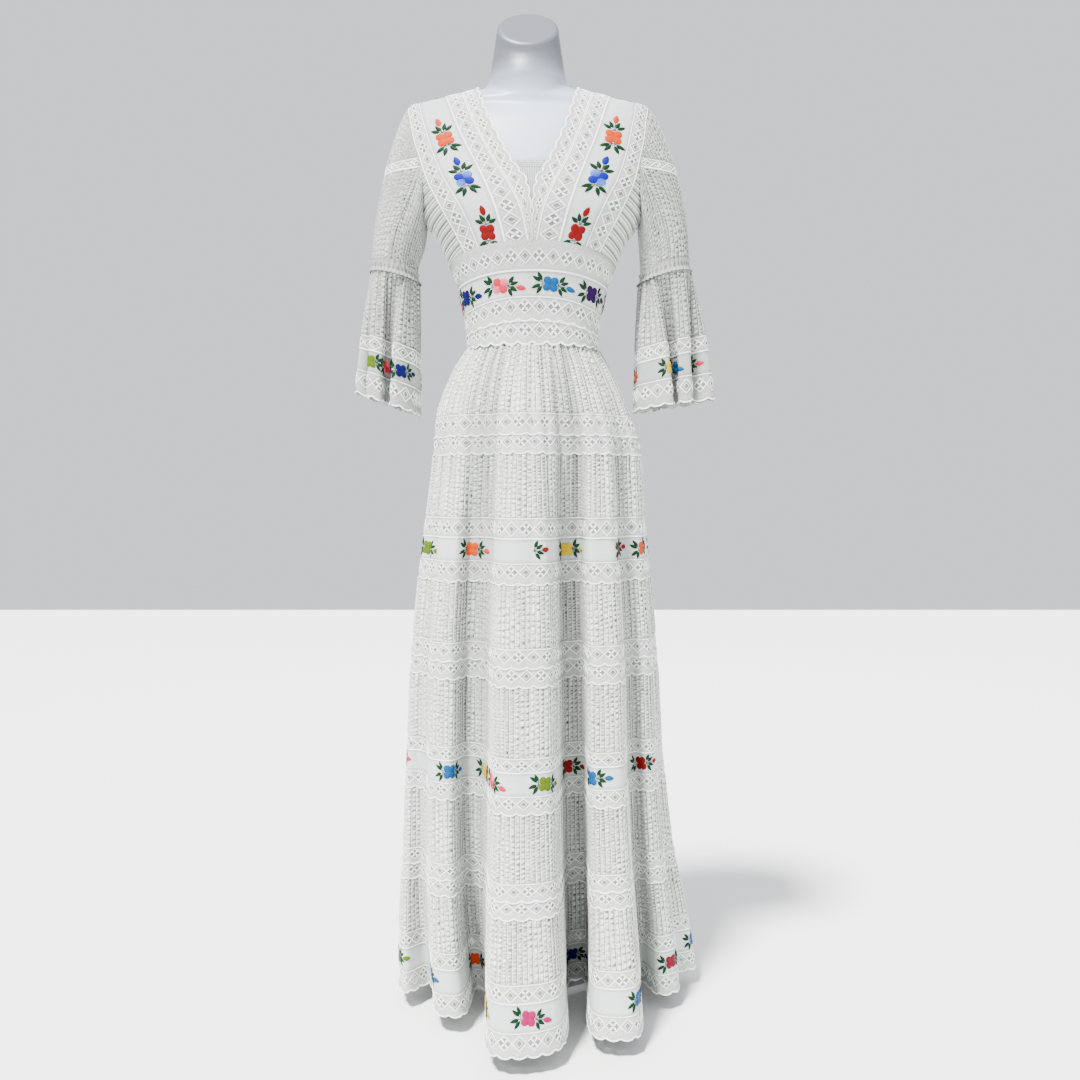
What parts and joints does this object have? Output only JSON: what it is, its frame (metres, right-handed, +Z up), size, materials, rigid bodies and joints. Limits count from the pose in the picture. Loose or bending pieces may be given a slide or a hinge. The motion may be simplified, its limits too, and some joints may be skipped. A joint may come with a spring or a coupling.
{
  "type": "long tiered wedding dress on a limbless dress form",
  "caption": "Long white cotton dress with V neck, elbow sleeves, lace, tucks and embroidered flower bands, worn on a limbless dress form with a stand.",
  "frame": {"origin": "middle of the bounding box on the floor", "axes": "+Z up, the front of the dress faces -Y, +X is to the right as seen from the front"},
  "size_m": [0.5456, 0.4774, 1.5355],
  "materials": {
    "tucked_back_centre_left": "tucked white cotton, matt",
    "tucked_back_centre_right": "tucked white cotton, matt",
    "plain_back_placket": "smooth white cotton with embroidered flowers, matt",
    "tucked_back_side_left": "tucked white cotton, matt",
    "tucked_back_side_right": "tucked white cotton, matt",
    "plain_bodice_band_left": "smooth white cotton with embroidered flowers, matt",
    "plain_bodice_band_right": "smooth white cotton with embroidered flowers, matt",
    "lace_bodice_lace_inner_left": "white cotton lace, matt",
    "lace_bodice_lace_inner_right": "white cotton lace, matt",
    "lace_bodice_lace_outer_left": "white cotton lace, matt",
    "lace_bodice_lace_outer_right": "white cotton lace, matt",
    "form_dress_form": "cool white, smooth",
    "tucked_front_side_left": "tucked white cotton, matt",
    "tucked_front_side_right": "tucked white cotton, matt",
    "lace_hem_edging": "white cotton lace, matt",
    "plain_midriff_band": "smooth white cotton with embroidered flowers, matt",
    "lace_midriff_lace_lower": "white cotton lace, matt",
    "lace_midriff_lace_scalloped": "white cotton lace, matt",
    "lace_midriff_lace_upper": "white cotton lace, matt",
    "plain_modesty_inset": "smooth white cotton with embroidered flowers, matt",
    "lace_neck_edging": "white cotton lace, matt",
    "plain_skirt_band_1": "smooth white cotton with embroidered flowers, matt",
    "plain_skirt_band_2": "smooth white cotton with embroidered flowers, matt",
    "plain_skirt_band_3": "smooth white cotton with embroidered flowers, matt",
    "lace_skirt_lace_1_lower": "white cotton lace, matt",
    "lace_skirt_lace_1_upper": "white cotton lace, matt",
    "lace_skirt_lace_2_lower": "white cotton lace, matt",
    "lace_skirt_lace_2_upper": "white cotton lace, matt",
    "lace_skirt_lace_3_lower": "white cotton lace, matt",
    "lace_skirt_lace_3_upper": "white cotton lace, matt",
    "lace_skirt_lace_4_lower": "white cotton lace, matt",
    "lace_skirt_lace_4_upper": "white cotton lace, matt",
    "lace_skirt_lace_5_lower": "white cotton lace, matt",
    "lace_skirt_lace_5_upper": "white cotton lace, matt",
    "lace_skirt_lace_6_upper": "white cotton lace, matt",
    "tucked_skirt_tier_1": "tucked white cotton, matt",
    "tucked_skirt_tier_2": "tucked white cotton, matt",
    "tucked_skirt_tier_3": "tucked white cotton, matt",
    "tucked_skirt_tier_4": "tucked white cotton, matt",
    "tucked_skirt_tier_5": "tucked white cotton, matt",
    "tucked_skirt_tier_6": "tucked white cotton, matt",
    "tucked_sleeve_cap_left": "tucked white cotton, matt",
    "tucked_sleeve_cap_right": "tucked white cotton, matt",
    "lace_sleeve_elbow_left": "white cotton lace, matt",
    "lace_sleeve_elbow_right": "white cotton lace, matt",
    "plain_sleeve_flounce_band_left": "smooth white cotton with embroidered flowers, matt",
    "plain_sleeve_flounce_band_right": "smooth white cotton with embroidered flowers, matt",
    "lace_sleeve_flounce_edging_left": "white cotton lace, matt",
    "lace_sleeve_flounce_edging_right": "white cotton lace, matt",
    "lace_sleeve_flounce_lace_left": "white cotton lace, matt",
    "lace_sleeve_flounce_lace_right": "white cotton lace, matt",
    "tucked_sleeve_flounce_left": "tucked white cotton, matt",
    "tucked_sleeve_flounce_right": "tucked white cotton, matt",
    "lace_sleeve_lace_left": "white cotton lace, matt",
    "lace_sleeve_lace_right": "white cotton lace, matt",
    "tucked_sleeve_lower_left": "tucked white cotton, matt",
    "tucked_sleeve_lower_right": "tucked white cotton, matt",
    "metal_stand_foot": "white paint, satin",
    "metal_stand_pole": "white paint, satin"
  },
  "bodies": {
    "root": {"back_centre_left": "tucked_back_centre_left", "back_centre_right": "tucked_back_centre_right", "back_placket": "plain_back_placket", "back_side_left": "tucked_back_side_left", "back_side_right": "tucked_back_side_right", "bodice_band_left": "plain_bodice_band_left", "bodice_band_right": "plain_bodice_band_right", "bodice_lace_inner_left": "lace_bodice_lace_inner_left", "bodice_lace_inner_right": "lace_bodice_lace_inner_right", "bodice_lace_outer_left": "lace_bodice_lace_outer_left", "bodice_lace_outer_right": "lace_bodice_lace_outer_right", "dress_form": "form_dress_form", "front_side_left": "tucked_front_side_left", "front_side_right": "tucked_front_side_right", "hem_edging": "lace_hem_edging", "midriff_band": "plain_midriff_band", "midriff_lace_lower": "lace_midriff_lace_lower", "midriff_lace_scalloped": "lace_midriff_lace_scalloped", "midriff_lace_upper": "lace_midriff_lace_upper", "modesty_inset": "plain_modesty_inset", "neck_edging": "lace_neck_edging", "skirt_band_1": "plain_skirt_band_1", "skirt_band_2": "plain_skirt_band_2", "skirt_band_3": "plain_skirt_band_3", "skirt_lace_1_lower": "lace_skirt_lace_1_lower", "skirt_lace_1_upper": "lace_skirt_lace_1_upper", "skirt_lace_2_lower": "lace_skirt_lace_2_lower", "skirt_lace_2_upper": "lace_skirt_lace_2_upper", "skirt_lace_3_lower": "lace_skirt_lace_3_lower", "skirt_lace_3_upper": "lace_skirt_lace_3_upper", "skirt_lace_4_lower": "lace_skirt_lace_4_lower", "skirt_lace_4_upper": "lace_skirt_lace_4_upper", "skirt_lace_5_lower": "lace_skirt_lace_5_lower", "skirt_lace_5_upper": "lace_skirt_lace_5_upper", "skirt_lace_6_upper": "lace_skirt_lace_6_upper", "skirt_tier_1": "tucked_skirt_tier_1", "skirt_tier_2": "tucked_skirt_tier_2", "skirt_tier_3": "tucked_skirt_tier_3", "skirt_tier_4": "tucked_skirt_tier_4", "skirt_tier_5": "tucked_skirt_tier_5", "skirt_tier_6": "tucked_skirt_tier_6", "sleeve_cap_left": "tucked_sleeve_cap_left", "sleeve_cap_right": "tucked_sleeve_cap_right", "sleeve_elbow_left": "lace_sleeve_elbow_left", "sleeve_elbow_right": "lace_sleeve_elbow_right", "sleeve_flounce_band_left": "plain_sleeve_flounce_band_left", "sleeve_flounce_band_right": "plain_sleeve_flounce_band_right", "sleeve_flounce_edging_left": "lace_sleeve_flounce_edging_left", "sleeve_flounce_edging_right": "lace_sleeve_flounce_edging_right", "sleeve_flounce_lace_left": "lace_sleeve_flounce_lace_left", "sleeve_flounce_lace_right": "lace_sleeve_flounce_lace_right", "sleeve_flounce_left": "tucked_sleeve_flounce_left", "sleeve_flounce_right": "tucked_sleeve_flounce_right", "sleeve_lace_left": "lace_sleeve_lace_left", "sleeve_lace_right": "lace_sleeve_lace_right", "sleeve_lower_left": "tucked_sleeve_lower_left", "sleeve_lower_right": "tucked_sleeve_lower_right", "stand_foot": "metal_stand_foot", "stand_pole": "metal_stand_pole"}
  },
  "joints": []
}
